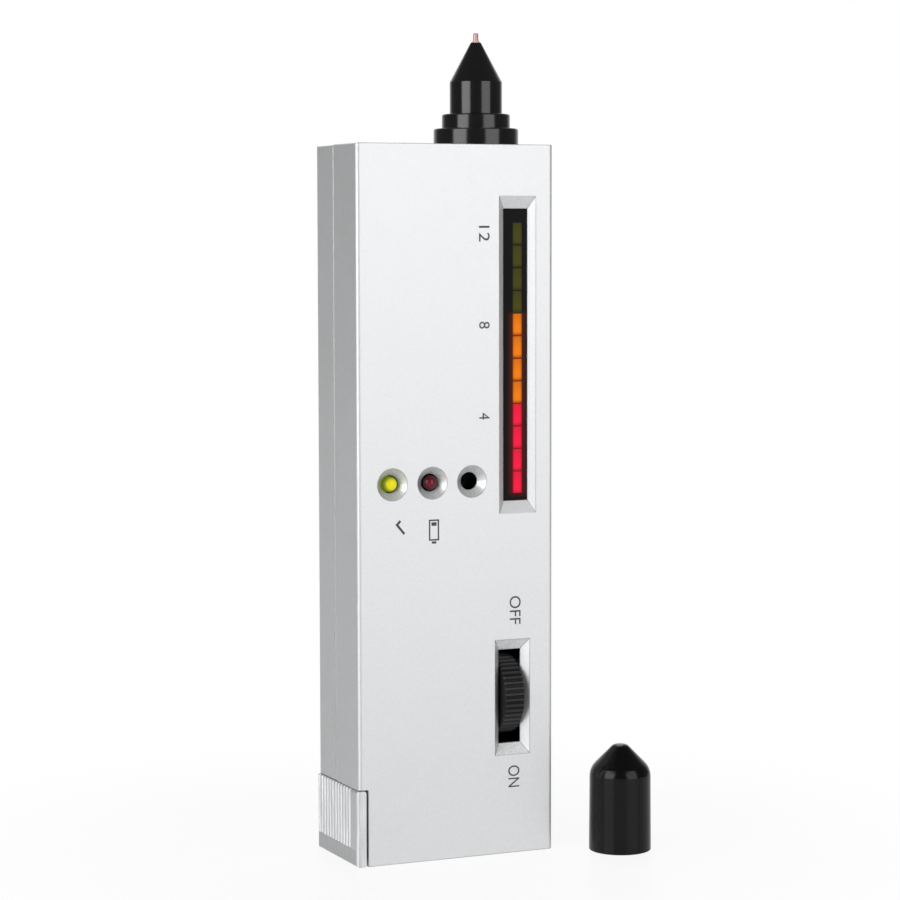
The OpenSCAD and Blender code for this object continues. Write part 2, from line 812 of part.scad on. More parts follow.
// Insulated lead: upright from z0, then a bend at z1 and back to the board
module lead(x, y, z0, z1) {
    way = sign(z1 - z0);
    bend_z = z1 - way * lead_bend;
    translate([x, y, min(z0, bend_z)]) cylinder(h = abs(bend_z - z0), r = lead_r);
    translate([x, y + lead_bend, bend_z]) rotate([90, 0, 90]) rotate([0, 0, way > 0 ? 90 : 180])
        rotate_extrude(angle = 90) translate([lead_bend, 0]) circle(lead_r);
    bar_y(x, z1, y + lead_bend, board_y, lead_r);
}

module probe_leads() {
    color("#3b6fb5")
    for (side = [-1, 1]) {
        lead(nose_x + side * probe_lead_pitch / 2, 0, seat_foot, seat_foot - probe_lead_drop);
    }
}

// Ribbed wheel with bevelled rims, a bore for its shaft and a dish for its screw
module thumbwheel() {
    root_r = wheel_r - wheel_rib_h;
    step = 360 / wheel_ribs;
    rib = [[0, root_r], [0.25, wheel_r], [0.5, wheel_r], [0.75, root_r]];
    bevel_r = wheel_r - wheel_bevel;
    color("#1b1b1c")
    translate([wheel_left, wheel_y, wheel_z]) rotate([0, 90, 0]) difference() {
        intersection() {
            linear_extrude(wheel_w) polygon([
                for (i = [0:wheel_ribs - 1], k = rib)
                    k[1] * [cos((i + k[0]) * step), sin((i + k[0]) * step)]
            ]);
            rotate_extrude() polygon([
                [0, 0], [bevel_r, 0], [wheel_r, wheel_bevel], [wheel_r, wheel_w - wheel_bevel],
                [bevel_r, wheel_w], [0, wheel_w]
            ]);
        }
        translate([0, 0, -over]) cylinder(h = wheel_w + 2 * over, r = shaft_r);
        translate([0, 0, -over]) cylinder(h = dish_t + over, r = dish_r);
    }
}

module pot_shaft() {
    shaft_l = wheel_w - dish_t + pot_gap + shaft_seat - shaft_play;
    color("#c6c7c8")
    translate([wheel_left + dish_t, wheel_y, wheel_z]) rotate([0, 90, 0]) difference() {
        cylinder(h = shaft_l, r = shaft_r);
        translate([0, 0, -over]) cylinder(h = wheel_screw_l + over, r = wheel_screw_r);
    }
}

module wheel_screw() {
    color("#a5a7a9")
    translate([wheel_left + dish_t, wheel_y, wheel_z]) rotate([0, 90, 0]) difference() {
        union() {
            translate([0, 0, -wheel_screw_head_h]) cylinder(h = wheel_screw_head_h, r = wheel_screw_head_r);
            translate([0, 0, -wheel_screw_head_h / 2])
                cylinder(h = wheel_screw_l + wheel_screw_head_h / 2, r = wheel_screw_r);
        }
        translate([0, 0, -wheel_screw_head_h])
            cube([3 * wheel_screw_head_r, wheel_screw_slot, wheel_screw_head_h], center = true);
    }
}

// Flat switch on edge, from the board to just behind the front wall
module switch_pot() {
    color("#2f5f52")
    difference() {
        along_x(pot_x, pot_x + pot_t) rounded_rect(
            [face_in + pot_gap, wheel_z - pot_h / 2], [board_y, wheel_z + pot_h / 2], pot_corner_r
        );
        translate([pot_x - over, wheel_y, wheel_z]) rotate([0, 90, 0])
            cylinder(h = shaft_seat + over, r = shaft_r + shaft_fit);
    }
}

module pot_terminals() {
    color("#c9cacb")
    for (p = pot_leg_places) {
        bar_y(p.x, p.y, board_y, board_back + leg_out, leg_r);
    }
}

// Corner of the board cut away round a post, out to the nearer side of the case
module post_notch(p) {
    reach = post_r + board_edge;
    side = p.x < 0 ? left : right;
    bar_y(p.x, p.y, board_y - over, board_back + over, reach);
    block(
        [min(p.x, side), board_y - over, p.y - reach],
        [max(p.x, side), board_back + over, p.y + reach]
    );
}

module circuit_board() {
    color("#2c6e3f")
    difference() {
        union() {
            block([board_left, board_y, board_foot], [board_right, board_back, keeper_foot - board_edge]);
            block([board_leg_x, board_y, board_leg_z], [board_right, board_back, board_foot + over]);
        }
        for (p = case_screw_places) {
            post_notch(p);
        }
        for (p = board_screw_places) {
            bar_y(p.x, p.y, board_y - over, board_back + over, screw_r + screw_gap);
        }
        for (p = concat(bar_leg_places, lamp_leg_places, pot_leg_places)) {
            bar_y(p.x, p.y, board_y - over, board_back + over, leg_r + leg_fit);
        }
    }
}

module board_screws() {
    color("#9a9c9f")
    for (p = board_screw_places) {
        translate([0, 2 * board_y, 0]) mirror([0, 1, 0]) cross_screw(p, board_y, board_screw_l);
    }
}

// Coloured block of the i-th lamp of the bar, level with the housing's face
module bar_lamp(i) {
    half_h = (lamp_pitch - lamp_gap) / 2;
    block(
        [lamp_x - lamp_w / 2, bar_face, bar_lamp_z(i) - half_h],
        [lamp_x + lamp_w / 2, bar_face + lamp_t, bar_lamp_z(i) + half_h]
    );
}

module bargraph_housing() {
    half_w = window_in_w / 2 + bar_lap;
    half_h = window_in_h / 2 + bar_lap;
    face_half_w = window_in_w / 2 - bar_gap;
    face_half_h = window_in_h / 2 - bar_gap;
    color("#101011")
    difference() {
        union() {
            block(
                [window_x - half_w, face_in, window_z - half_h],
                [window_x + half_w, bar_back, window_z + half_h]
            );
            block(
                [window_x - face_half_w, bar_face, window_z - face_half_h],
                [window_x + face_half_w, bar_back, window_z + face_half_h]
            );
        }
        for (i = [0:lamp_count - 1]) {
            bar_lamp(i);
        }
    }
}

module bargraph_pins() {
    color("#c9cacb")
    for (p = bar_leg_places) {
        bar_y(p.x, p.y, bar_back, board_back + leg_out, leg_r);
    }
}

// The lamps of one colour: 0 is the lowest group
module lamp_group(group) {
    for (i = [group * lamps_per_colour:(group + 1) * lamps_per_colour - 1]) {
        bar_lamp(i);
    }
}

module red_segments() {
    color("#ff2448") lamp_group(0);
}

module amber_segments() {
    color("#f58200") lamp_group(1);
}

module green_segments() {
    color("#4e4d16") lamp_group(2);
}

// Round lamp with a domed end and a rim behind its sleeve
module round_lamp(x) {
    lamp_r = round_lamp_d / 2;
    translate([x, round_lamp_y + lamp_r, dimple_z]) rotate([90, 0, 0]) rotate_extrude() intersection() {
        circle(lamp_r);
        square(lamp_r);
    }
    bar_y(x, dimple_z, round_lamp_y + lamp_r, round_lamp_rim_y + round_lamp_rim_t, lamp_r);
    bar_y(x, dimple_z, round_lamp_rim_y, round_lamp_rim_y + round_lamp_rim_t, round_lamp_rim_d / 2);
}

module ready_lamp() {
    color("#f7e12a") round_lamp(dimple_first);
}

module battery_lamp() {
    color("#5a1410") round_lamp(dimple_mid);
}

module lamp_leads() {
    color("#c9cacb")
    for (p = lamp_leg_places) {
        bar_y(p.x, p.y, round_lamp_rim_y + round_lamp_rim_t, board_back + leg_out, leg_r);
    }
}

module buzzer() {
    color("#161617")
    difference() {
        bar_y(dimple_last, dimple_z, board_y - buzzer_h, board_y, buzzer_d / 2);
        bar_y(dimple_last, dimple_z, board_y - buzzer_h - over, board_y - buzzer_h / 2, buzzer_port_d / 2);
    }
}

// Flat chip on the board, with bent legs on its left and right
module chip(x, z, w, h, t, legs) {
    leg_w = 0.4;
    leg_t = 0.25;
    foot = 0.8;
    stand = 0.15;
    mid = board_y - stand - t / 2;
    block([x - w / 2, board_y - stand - t, z - h / 2], [x + w / 2, board_y - stand, z + h / 2]);
    for (side = [0, 1], i = [0:legs - 1]) {
        translate([x, 0, z + (i - (legs - 1) / 2) * chip_pitch - leg_w / 2]) mirror([side, 0, 0])
            linear_extrude(leg_w) polygon([
                [w / 2 - leg_t, mid], [w / 2 + foot, mid], [w / 2 + foot, board_y - leg_t],
                [w / 2 + 2 * foot, board_y - leg_t], [w / 2 + 2 * foot, board_y],
                [w / 2 + foot - leg_t, board_y], [w / 2 + foot - leg_t, mid + leg_t],
                [w / 2 - leg_t, mid + leg_t]
            ]);
    }
}

module driver_chip() {
    legs = 9;
    color("#1c1c1e") chip(
        dimple_mid + driver_aside, window_z + driver_rise,
        driver_w, legs * chip_pitch, driver_t, legs
    );
}

module amplifier_chip() {
    legs = 4;
    color("#1c1c1e") chip(
        dimple_mid, post_top - 2 * post_r, amplifier_w, legs * chip_pitch, amplifier_t, legs
    );
}

module resistors() {
    resistor_l = 3.2;
    resistor_w = 1.6;
    resistor_t = 0.6;
    resistor_x = window_x - window_w / 2 - dimple_to_window / 2;
    color("#232326")
    for (i = [3:lamp_count - 2]) {
        block(
            [resistor_x - resistor_l / 2, board_y - resistor_t, bar_lamp_z(i) - resistor_w / 2],
            [resistor_x + resistor_l / 2, board_y, bar_lamp_z(i) + resistor_w / 2]
        );
    }
}

module capacitors() {
    groove_z = 1.5;
    groove = 0.3;
    color("#2a3a66")
    for (z = [window_z, window_z - can_pitch]) {
        translate([dimple_first, board_y, z]) rotate([90, 0, 0]) rotate_extrude() polygon([
            [0, 0], [can_r, 0], [can_r, groove_z - groove], [can_r - groove, groove_z],
            [can_r, groove_z + groove], [can_r, can_h - groove], [can_r - groove, can_h], [0, can_h]
        ]);
    }
}

// Small regulator: half-round body on three legs
module regulator() {
    body_r = 2.3;
    body_l = 4.6;
    flat = 1.3;
    stand = 3;
    x = dimple_mid;
    z = (board_foot + dimple_z) / 2;
    color("#1a1a1c")
    union() {
        translate([x, board_y - stand, z]) rotate([90, 0, 0]) linear_extrude(body_l) intersection() {
            circle(body_r);
            translate([-body_r, -flat]) square(2 * body_r);
        }
        for (i = [-1, 0, 1]) {
            bar_y(x + i * chip_pitch, z, board_y - stand - over, board_y, leg_r);
        }
    }
}

module battery() {
    color("#3c3f44")
    translate([battery_x, battery_y, battery_z]) linear_extrude(battery_h)
        rounded_rect([-battery_w / 2, -battery_t / 2], [battery_w / 2, battery_t / 2], battery_r);
}

// A solid stud on the left and a hollow one on the right
module battery_terminals() {
    color("#c2c3c4")
    translate([battery_x, battery_y, battery_z + battery_h]) {
        translate([-stud_pitch / 2, 0, 0]) cylinder(h = stud_h, r = stud_r);
        translate([stud_pitch / 2, 0, 0]) difference() {
            cylinder(h = stud_h, r = socket_r);
            translate([0, 0, socket_floor]) cylinder(h = stud_h, r = stud_r);
        }
    }
}

module battery_snap() {
    snap_w = stud_pitch + 2 * (socket_r + snap_rim);
    snap_d = 2 * (socket_r + snap_rim);
    color("#151516")
    translate([battery_x, battery_y, snap_z]) difference() {
        linear_extrude(snap_t) rounded_rect([-snap_w / 2, -snap_d / 2], [snap_w / 2, snap_d / 2], battery_r);
        translate([-stud_pitch / 2, 0, -over]) cylinder(h = stud_h + over, r = stud_r + battery_gap);
        translate([stud_pitch / 2, 0, -over]) cylinder(h = stud_h + over, r = socket_r + battery_gap);
    }
}

module battery_leads() {
    lead_y = battery_y + battery_lead_back;
    lead_z = board_foot + battery_lead_rise;
    color("#b3231f")
    for (side = [-1, 1]) {
        lead(battery_x + stud_pitch / 2 + side * leg_pitch, lead_y, snap_z + snap_t, lead_z);
    }
}

// Hollow cap with a leaning side and a rounded shoulder and top, open end down
module nose_cap() {
    turn = atan2(cap_r - cap_top_d / 2, cap_taper);
    shoulder_mid = [cap_r - cap_shoulder_r, cap_h - cap_taper - cap_shoulder_r * tan(turn / 2)];
    crown_r = (cap_top_d - cap_flat_d) / 2 / tan((90 - turn) / 2);
    color("#121213")
    translate([cap_x, cap_y, 0]) rotate_extrude() polygon(concat(
        [[cap_bore_r, 0]],
        arc([cap_r + cap_draft - cap_foot_r, cap_foot_r], cap_foot_r, -90, 0),
        arc(shoulder_mid, cap_shoulder_r, 0, turn),
        arc([cap_flat_d / 2, cap_h - crown_r], crown_r, turn, 90),
        [[0, cap_h]],
        [[0, cap_in_h], [cap_bore_end_r, cap_in_h], [cap_bore_r, cap_bore_h]]
    ));
}

front_shell();
rear_shell();
case_screws();
battery_door();
nose();
tip_bush();
probe_tip();
probe_rod();
tip_spring();
spring_seat();
probe_leads();
thumbwheel();
pot_shaft();
wheel_screw();
switch_pot();
pot_terminals();
circuit_board();
board_screws();
bargraph_housing();
bargraph_pins();
green_segments();
amber_segments();
red_segments();
ready_lamp();
battery_lamp();
lamp_leads();
buzzer();
driver_chip();
amplifier_chip();
resistors();
capacitors();
regulator();
battery();
battery_terminals();
battery_snap();
battery_leads();
nose_cap();
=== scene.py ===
"""Gem tester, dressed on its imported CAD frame: a case sprayed silver, a glossy black nose with its cap
beside it, a lit bar of lamps, a ribbed wheel and a ribbed battery door, on a pale floor in studio light."""
import math
from types import SimpleNamespace

import bmesh
import bpy
from mathutils import Matrix, Vector


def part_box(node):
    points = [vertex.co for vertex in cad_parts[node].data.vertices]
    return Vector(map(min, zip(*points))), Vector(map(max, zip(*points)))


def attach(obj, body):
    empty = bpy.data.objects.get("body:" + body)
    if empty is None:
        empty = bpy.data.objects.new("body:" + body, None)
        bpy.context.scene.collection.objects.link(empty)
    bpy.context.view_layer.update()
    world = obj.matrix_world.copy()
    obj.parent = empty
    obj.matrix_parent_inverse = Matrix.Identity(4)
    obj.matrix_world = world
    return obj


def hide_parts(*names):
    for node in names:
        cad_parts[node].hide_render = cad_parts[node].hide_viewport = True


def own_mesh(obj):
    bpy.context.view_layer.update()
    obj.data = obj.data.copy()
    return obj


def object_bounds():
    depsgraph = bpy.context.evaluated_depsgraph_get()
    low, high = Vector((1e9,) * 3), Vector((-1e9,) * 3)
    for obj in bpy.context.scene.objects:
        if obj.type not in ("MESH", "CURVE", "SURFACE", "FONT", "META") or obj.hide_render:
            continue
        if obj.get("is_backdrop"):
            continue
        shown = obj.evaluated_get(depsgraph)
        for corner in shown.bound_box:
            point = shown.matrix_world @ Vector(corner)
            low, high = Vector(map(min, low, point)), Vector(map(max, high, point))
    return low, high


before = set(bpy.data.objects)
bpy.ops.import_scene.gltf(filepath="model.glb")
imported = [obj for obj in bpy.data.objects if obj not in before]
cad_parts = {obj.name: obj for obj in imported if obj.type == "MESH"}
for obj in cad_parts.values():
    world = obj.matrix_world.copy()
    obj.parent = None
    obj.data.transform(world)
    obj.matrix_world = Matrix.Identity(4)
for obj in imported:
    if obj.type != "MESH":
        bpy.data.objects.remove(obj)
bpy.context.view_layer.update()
scene = bpy.context.scene

MM = 0.001
# Sockets of a Mix node that mixes colours
FACTOR, FIRST, SECOND, MIXED = 0, 6, 7, 2


def middle(node):
    """Middle of a CAD node's box."""
    low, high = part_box(node)
    return (low + high) / 2


# Places on the case
shell_low, shell_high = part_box("front_shell")
rear_low, rear_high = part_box("rear_shell")
face = shell_low.y
back = rear_high.y
red_low, red_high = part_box("red_segments")
amber_low, amber_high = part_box("amber_segments")
lamps_per_colour = 4
lamp_pitch = (amber_low.z - red_low.z) / lamps_per_colour
lamp_gap = amber_low.z - red_high.z
lamp_x = (red_low.x + red_high.x) / 2
lamp_half_w = (red_high.x - red_low.x) / 2
lamp_foot = red_low.z - lamp_gap / 2
wheel_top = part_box("thumbwheel")[1].z


def linear(colour):
    """Linear colour of an sRGB hex value."""
    parts = [int(colour[i:i + 2], 16) / 255 for i in (1, 3, 5)]
    return [p / 12.92 if p <= 0.04045 else ((p + 0.055) / 1.055) ** 2.4 for p in parts] + [1.0]


def add(tree, kind, inputs=None, out=0, **settings):
    """Adds a node, sets or links its inputs, and returns one of its outputs."""
    made = tree.nodes.new(kind)
    for key, value in settings.items():
        setattr(made, key, value)
    for key, value in (inputs or {}).items():
        if isinstance(value, bpy.types.NodeSocket):
            tree.links.new(value, made.inputs[key])
        else:
            made.inputs[key].default_value = value
    return made.outputs[out] if made.outputs else made


def surface(name, colour, roughness, cloud, grain, metallic=0.0, constants=None):
    """A finish whose colour and gloss drift in clouds, with a grain in its relief.

    cloud is a size in mm, a second colour and a change of roughness; grain is a size and a depth in mm;
    constants holds values of other inputs of the shader."""
    material = bpy.data.materials.new(name)
    material.use_nodes = True
    tree = material.node_tree
    shader = tree.nodes["Principled BSDF"]
    shader.inputs["Metallic"].default_value = metallic
    for key, value in (constants or {}).items():
        shader.inputs[key].default_value = value
    place = add(tree, "ShaderNodeTexCoord", out="Object")
    parts = add(tree, "ShaderNodeSeparateXYZ", {0: place}).node.outputs
    cloud_size, other, haze = cloud
    drift = add(tree, "ShaderNodeTexNoise", {"Vector": place, "Scale": 1 / (cloud_size * MM), "Detail": 4.0})
    tint = add(tree, "ShaderNodeMix", {FACTOR: drift, FIRST: linear(colour), SECOND: linear(other)},
               MIXED, data_type="RGBA")
    gloss = add(tree, "ShaderNodeMapRange",
                {"Value": drift, "To Min": roughness - haze, "To Max": roughness + haze})
    grain_size, depth = grain
    relief = add(tree, "ShaderNodeTexNoise", {"Vector": place, "Scale": 1 / (grain_size * MM), "Detail": 2.0})
    bump = add(tree, "ShaderNodeBump", {"Height": relief, "Distance": depth * MM, "Strength": 1.0})
    tree.links.new(tint, shader.inputs["Base Color"])
    tree.links.new(gloss, shader.inputs["Roughness"])
    tree.links.new(bump, shader.inputs["Normal"])
    return SimpleNamespace(material=material, tree=tree, shader=shader, place=place, tint=tint, gloss=gloss,
                           bump=bump.node, metal=metallic, x=parts["X"], y=parts["Y"], z=parts["Z"])


def lay(finish, *names):
    """Gives a finish to CAD nodes."""
    for name in names:
        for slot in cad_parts[name].material_slots:
            slot.material = finish.material


def second_finish(finish, where, colour, roughness, metallic):
    """Another plain finish on the part of a surface that the mask marks."""
    tree, shader = finish.tree, finish.shader
    tint = add(tree, "ShaderNodeMix", {FACTOR: where, FIRST: finish.tint, SECOND: linear(colour)},
               MIXED, data_type="RGBA")
    gloss = add(tree, "ShaderNodeMix", {0: where, 2: finish.gloss, 3: roughness})
    metal = add(tree, "ShaderNodeMapRange", {"Value": where, "To Min": finish.metal, "To Max": metallic})
    tree.links.new(tint, shader.inputs["Base Color"])
    tree.links.new(gloss, shader.inputs["Roughness"])
    tree.links.new(metal, shader.inputs["Metallic"])


def within(finish, limits):
    """Mask of the places where every test of a coordinate against its limit holds."""
    mask = None
    for part, operation, limit in limits:
        test = add(finish.tree, "ShaderNodeMath", {0: part, 1: limit}, operation=operation)
        mask = test if mask is None else add(
            finish.tree, "ShaderNodeMath", {0: mask, 1: test}, operation="MULTIPLY")
    return mask


def distance(finish, first, first_mid, second, second_mid):
    """Distance from an axis that runs along the third coordinate."""
    squares = []
    for part, mid in ((first, first_mid), (second, second_mid)):
        off = add(finish.tree, "ShaderNodeMath", {0: part, 1: mid}, operation="SUBTRACT")
        squares.append(add(finish.tree, "ShaderNodeMath", {0: off, 1: 2.0}, operation="POWER"))
    total = add(finish.tree, "ShaderNodeMath", {0: squares[0], 1: squares[1]})
    return add(finish.tree, "ShaderNodeMath", {0: total}, operation="SQRT")


def silver_paint(name):
    """ABS sprayed silver: satin, with metal flakes that sparkle where the light grazes a bevel.

    Flakes of about 0.04 mm are drawn 0.3 mm wide, because finer ones don't show at this size."""
    finish = surface(name, "#d9dadb", 0.5, (26, "#dedfe0", 0.02), (0.8, 0.0015), 0.92)
    tree = finish.tree
    flakes = add(tree, "ShaderNodeTexVoronoi", {"Vector": finish.place, "Scale": 1 / (0.3 * MM)}, "Color")
    flake = add(tree, "ShaderNodeSeparateColor", {0: flakes})
    sparkle = add(tree, "ShaderNodeMapRange", {"Value": flake, "To Min": 0.97, "To Max": 1.03})
    finish.tint = add(tree, "ShaderNodeMix", {FACTOR: 1.0, FIRST: finish.tint, SECOND: sparkle},
                      MIXED, data_type="RGBA", blend_type="MULTIPLY")
    haze = add(tree, "ShaderNodeMapRange", {"Value": flake, "To Min": -0.03, "To Max": 0.03})
    finish.gloss = add(tree, "ShaderNodeMath", {0: finish.gloss, 1: haze})
    # The spray rounds the sharp edges of the moulding by about 0.15 mm
    edges = add(tree, "ShaderNodeBevel", {"Radius": 0.15 * MM}, samples=6)
    tree.links.new(edges, finish.bump.inputs["Normal"])
    return finish


def door_paint(name):
    """Silver rubbed by the thumb, in upright hairlines 0.2 mm apart and some 8 mm long, with painted shade at
    the foot of its side.
    """
    finish = silver_paint(name)
    tree, shader = finish.tree, finish.shader
    hair_w, hair_length = 0.2, 8.0
    drawn_out = add(tree, "ShaderNodeMapping",
                    {"Vector": finish.place, "Scale": (1.0, 1.0, hair_w / hair_length)})
    hairs = add(tree, "ShaderNodeTexNoise", {"Vector": drawn_out, "Scale": 1 / (hair_w * MM), "Detail": 2.0})
    rub = add(tree, "ShaderNodeMapRange", {"Value": hairs, "From Min": 0.3, "From Max": 0.7,
                                           "To Min": 0.86, "To Max": 1.12})
    rubbed = add(tree, "ShaderNodeMix", {FACTOR: 1.0, FIRST: finish.tint, SECOND: rub},
                 MIXED, data_type="RGBA", blend_type="MULTIPLY")
    # Painted shade greys the side of the door below its grip, but not its front
    grip_foot = 3.3 * MM
    painted_foot_shade = within(finish, ((finish.z, "LESS_THAN", grip_foot), (finish.y, "GREATER_THAN", face + 1 * MM)))
    tint = add(tree, "ShaderNodeMix", {FACTOR: painted_foot_shade, FIRST: rubbed, SECOND: linear("#ebebeb")},
               MIXED, data_type="RGBA", blend_type="MULTIPLY")
    finish.bump.inputs["Distance"].default_value = 0.01 * MM
    tree.links.new(hairs, finish.bump.inputs["Height"])
    tree.links.new(tint, shader.inputs["Base Color"])
    tree.links.new(finish.gloss, shader.inputs["Roughness"])
    return finish


def worn_edges(finish):
    """Painted shade along the sharp edges on the front, as a dark line where they turn."""
    tree = finish.tree
    line_w = 0.5 * MM
    rounded = add(tree, "ShaderNodeBevel", {"Radius": line_w / 2}, samples=6)
    facing = add(tree, "ShaderNodeNewGeometry", out="True Normal")
    turned = add(tree, "ShaderNodeVectorMath", {0: rounded, 1: facing}, "Value", operation="DOT_PRODUCT")
    edge_turn_shade = add(tree, "ShaderNodeMapRange", {"Value": turned, "From Min": 0.95, "From Max": 0.995,
                                            "To Min": 0.8, "To Max": 0.0})
    # Faces that look backwards or sideways, as those in the seam do, get no painted shade
    forwards = add(tree, "ShaderNodeSeparateXYZ", {0: facing}, "Y")
    front = add(tree, "ShaderNodeMath", {0: forwards, 1: -0.3}, operation="LESS_THAN")
    edge_shade = add(tree, "ShaderNodeMath", {0: edge_turn_shade, 1: front}, operation="MULTIPLY")
    # Painted shade darkens the silver along these edges
    finish.tint = add(tree, "ShaderNodeMix", {FACTOR: edge_shade, FIRST: finish.tint, SECOND: linear("#3a3a3b")},
                      MIXED, data_type="RGBA")


def seam_grime(finish):
    """Painted shade in the groove along the seam, which dulls the silver there."""
    tree = finish.tree
    seam, reach, depth = rear_low.y, 0.6 * MM, 0.12 * MM
    across = add(tree, "ShaderNodeMath", {0: finish.x}, operation="ABSOLUTE")
    groove = within(finish, (
        (finish.y, "GREATER_THAN", seam - reach), (finish.y, "LESS_THAN", seam + reach),
        (across, "LESS_THAN", shell_high.x - depth)))
    # The groove's painted shade covers three quarters of the silver
    groove_shade = add(tree, "ShaderNodeMath", {0: groove, 1: 0.75}, operation="MULTIPLY")
    finish.tint = add(tree, "ShaderNodeMix", {FACTOR: groove_shade, FIRST: finish.tint, SECOND: linear("#8b8b8a")},
                      MIXED, data_type="RGBA")


def recess_spray(finish):
    """Dry spray on the bevels above and below the openings: duller and grainy, with painted light round the
    wheel and painted shade at the foot of the window.
    """
    tree = finish.tree
    # Behind the face, no deeper than the bevels, and clear of the sides and ends of the case
    skin, depth, side, end = 0.04 * MM, 1.7 * MM, 1.2 * MM, 2 * MM
    across = add(tree, "ShaderNodeMath", {0: finish.x}, operation="ABSOLUTE")
    recess = within(finish, (
        (finish.y, "GREATER_THAN", face + skin), (finish.y, "LESS_THAN", face + depth),
        (across, "LESS_THAN", shell_high.x - side), (finish.z, "GREATER_THAN", end),
        (finish.z, "LESS_THAN", shell_high.z - end)))
    facing = add(tree, "ShaderNodeNewGeometry", out="True Normal")
    upwards = add(tree, "ShaderNodeSeparateXYZ", {0: facing}, "Z")
    slope = add(tree, "ShaderNodeMath", {0: upwards}, operation="ABSOLUTE")
    level = add(tree, "ShaderNodeMapRange", {"Value": slope, "From Min": 0.25, "From Max": 0.65},
                interpolation_type="SMOOTHSTEP")
    dry = add(tree, "ShaderNodeMath", {0: recess, 1: level}, operation="MULTIPLY")
    grain_w = 0.35 * MM
    grains = add(tree, "ShaderNodeTexNoise", {"Vector": finish.place, "Scale": 1 / grain_w, "Detail": 2.0})
    shade = add(tree, "ShaderNodeMapRange", {"Value": grains, "From Min": 0.3, "From Max": 0.7,
                                             "To Min": 0.88, "To Max": 1.16})
    # Painted light brightens the bevels round the wheel, and painted shade darkens those at the foot of the
    # window, less so towards its top
    wheel_light_window_shade = add(tree, "ShaderNodeMapRange", {
        "Value": finish.z, "From Min": wheel_top, "From Max": lamp_foot, "To Min": 1.2, "To Max": 0.82})
    window_shade_fade = add(tree, "ShaderNodeMapRange", {
        "Value": finish.z, "From Min": lamp_foot, "From Max": amber_high.z, "To Min": 1.0, "To Max": 1.22})
    shade = add(tree, "ShaderNodeMath", {0: shade, 1: wheel_light_window_shade}, operation="MULTIPLY")
    shade = add(tree, "ShaderNodeMath", {0: shade, 1: window_shade_fade}, operation="MULTIPLY")
    # Grain, with the painted light and shade above
    grain_and_painted_light = add(tree, "ShaderNodeMix", {FACTOR: 1.0, FIRST: finish.tint, SECOND: shade},
                 MIXED, data_type="RGBA", blend_type="MULTIPLY")
    finish.tint = add(tree, "ShaderNodeMix", {FACTOR: dry, FIRST: finish.tint, SECOND: grain_and_painted_light},
                      MIXED, data_type="RGBA")
    finish.gloss = add(tree, "ShaderNodeMix", {0: dry, 2: finish.gloss, 3: 0.6})
    finish.metal = add(tree, "ShaderNodeMapRange", {"Value": dry, "To Min": finish.metal, "To Max": 0.35})


def shell_paint(name):
    """Silver outside, bare black ABS on the inside, which the spray doesn't reach."""
    finish = silver_paint(name)
    worn_edges(finish)
    recess_spray(finish)
    seam_grime(finish)
    wall = 1.6 * MM
    across = add(finish.tree, "ShaderNodeMath", {0: finish.x}, operation="ABSOLUTE")
    inside = within(finish, (
        (across, "LESS_THAN", shell_high.x - wall), (finish.z, "GREATER_THAN", wall),
        (finish.z, "LESS_THAN", shell_high.z - wall), (finish.y, "GREATER_THAN", face + wall),
        (finish.y, "LESS_THAN", back - wall)))
    second_finish(finish, inside, "#121213", 0.6, 0.0)
    return finish


lay(shell_paint("sprayed silver ABS"), "front_shell", "rear_shell")
lay(door_paint("rubbed silver ABS"), "battery_door")

# Glossy black ABS, moulded in a polished tool: mirror-like, with a trace of dust
gloss_black = surface("polished black ABS", "#040405", 0.18, (7, "#070708", 0.03), (1.5, 0.001),
                      constants={"Specular IOR Level": 0.23})
lay(gloss_black, "nose_cap")


def turned_black():
    """Turned black acetal: polished, with tool lines round the axis."""
    finish = surface("turned black acetal", "#090909", 0.16, (5, "#0e0e0f", 0.03), (1.2, 0.001),
                     constants={"Specular IOR Level": 0.52})
    line_pitch, line_depth = 0.691 * MM, 0.002 * MM
    # The wave goes through 20 radians in one unit of its scaled coordinate
    lines = add(finish.tree, "ShaderNodeTexWave", {
        "Vector": finish.place, "Scale": math.tau / 20 / line_pitch, "Distortion": 0.4}, "Fac",
        bands_direction="Z")
    finish.bump.inputs["Distance"].default_value = line_depth
    finish.tree.links.new(lines, finish.bump.inputs["Height"])
    return finish


lay(turned_black(), "nose")


def wheel_black():
    """Black nylon with a fine moulded grain, with a painted highlight on the crests of its ribs and painted
    light on its sides.
    """
    finish = surface("moulded black nylon", "#0f0f10", 0.42, (4, "#141415", 0.08), (0.12, 0.006),
                     constants={"Specular IOR Level": 0.2})
    low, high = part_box("thumbwheel")
    axis = (low + high) / 2
    wheel_r = (high.z - low.z) / 2
    highlight_h = 0.3 * MM
    tree = finish.tree
    out = distance(finish, finish.y, axis.y, finish.z, axis.z)
    # Painted highlight on the outer 0.3 mm of the ribs, their crests
    crest_highlight = add(tree, "ShaderNodeMapRange",
                {"Value": out, "From Min": wheel_r - highlight_h, "From Max": wheel_r})
    ribs_highlit = add(tree, "ShaderNodeMix", {FACTOR: crest_highlight, FIRST: finish.tint, SECOND: linear("#363637")},
                 MIXED, data_type="RGBA")
    # Painted light on the sides of the wheel, which face left and right
    facing = add(tree, "ShaderNodeNewGeometry", out="True Normal")
    sidewards = add(tree, "ShaderNodeSeparateXYZ", {0: facing}, "X")
    side = add(tree, "ShaderNodeMath", {0: sidewards}, operation="ABSOLUTE")
    tint = add(tree, "ShaderNodeMix", {FACTOR: side, FIRST: ribs_highlit, SECOND: linear("#222223")},
               MIXED, data_type="RGBA")
    tree.links.new(tint, finish.shader.inputs["Base Color"])
    return finish


lay(wheel_black(), "thumbwheel")

